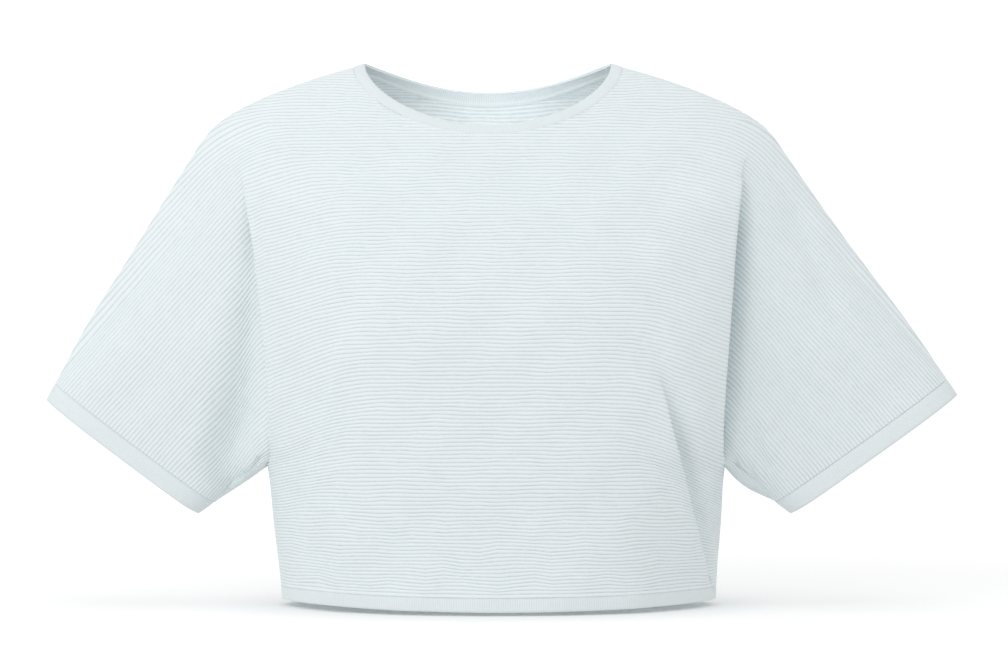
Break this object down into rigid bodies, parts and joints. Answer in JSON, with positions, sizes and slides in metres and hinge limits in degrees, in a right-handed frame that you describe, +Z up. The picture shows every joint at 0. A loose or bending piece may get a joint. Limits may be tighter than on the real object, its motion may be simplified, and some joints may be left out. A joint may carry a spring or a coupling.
{
  "type": "sweater",
  "caption": "Cropped short-sleeved dolman sweater in cross-ribbed knit, hollow as if worn, with a wide round neck, finely ribbed neckband, cuffs and hem band.",
  "frame": {"origin": "middle of the line between the two high shoulder points, the highest points of the neckband, on the seam plane between front and back", "axes": "+X to the wearer's left, the front of the sweater faces -Y, +Z up from hem to shoulders"},
  "size_m": [0.8491, 0.2482, 0.499],
  "materials": {
    "front_knit": "matte cross-ribbed knit, pale ice mint",
    "back_knit": "matte cross-ribbed knit, pale ice mint",
    "band_knit": "matte fine rib knit, pale ice mint"
  },
  "bodies": {
    "root": {"front": "front_knit", "back": "back_knit", "front_sleeve_left": "front_knit", "front_sleeve_right": "front_knit", "back_sleeve_left": "back_knit", "back_sleeve_right": "back_knit", "neckband": "band_knit", "cuff_left": "band_knit", "cuff_right": "band_knit", "hem_band": "band_knit"}
  },
  "joints": []
}
